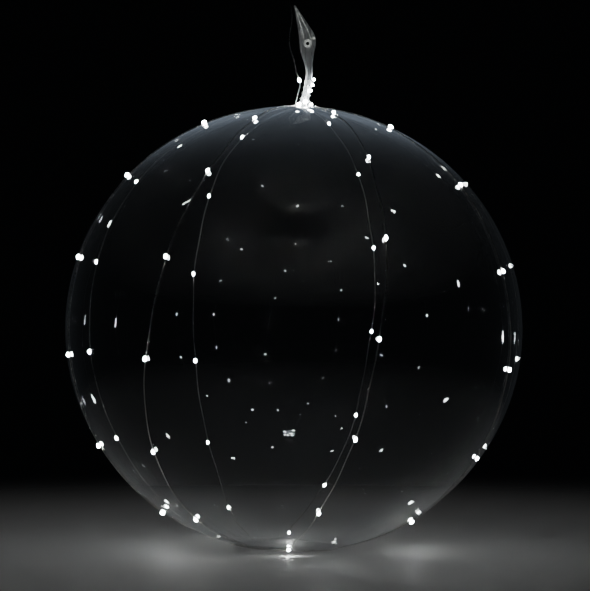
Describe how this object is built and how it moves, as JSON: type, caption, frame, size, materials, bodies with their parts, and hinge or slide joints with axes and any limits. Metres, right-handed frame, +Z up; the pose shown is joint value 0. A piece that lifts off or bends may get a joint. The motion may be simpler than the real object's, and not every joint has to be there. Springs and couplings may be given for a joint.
{
  "type": "clear bubble balloon with string lights",
  "caption": "Clear round bubble balloon with a flat tail, wound end to end with a string of small lights on fine wire, and a lead that ends in a hanging loop.",
  "frame": {"origin": "centre of the flat spot under the film, on the surface that the balloon rests on", "axes": "+Z up from the flat spot to the tail, -Y towards the front, +X to the right, the side that the neck leans to"},
  "size_m": [0.4807, 0.48, 0.6083],
  "materials": {
    "film": "clear thin plastic film, glossy",
    "wire": "fine bright silver wire",
    "lamp": "clear resin drop over a cool white light"
  },
  "bodies": {
    "root": {"balloon": "film", "light_string": "wire", "lead": "wire", "lead_light": "lamp", "lead_loop": "wire"}
  },
  "joints": []
}
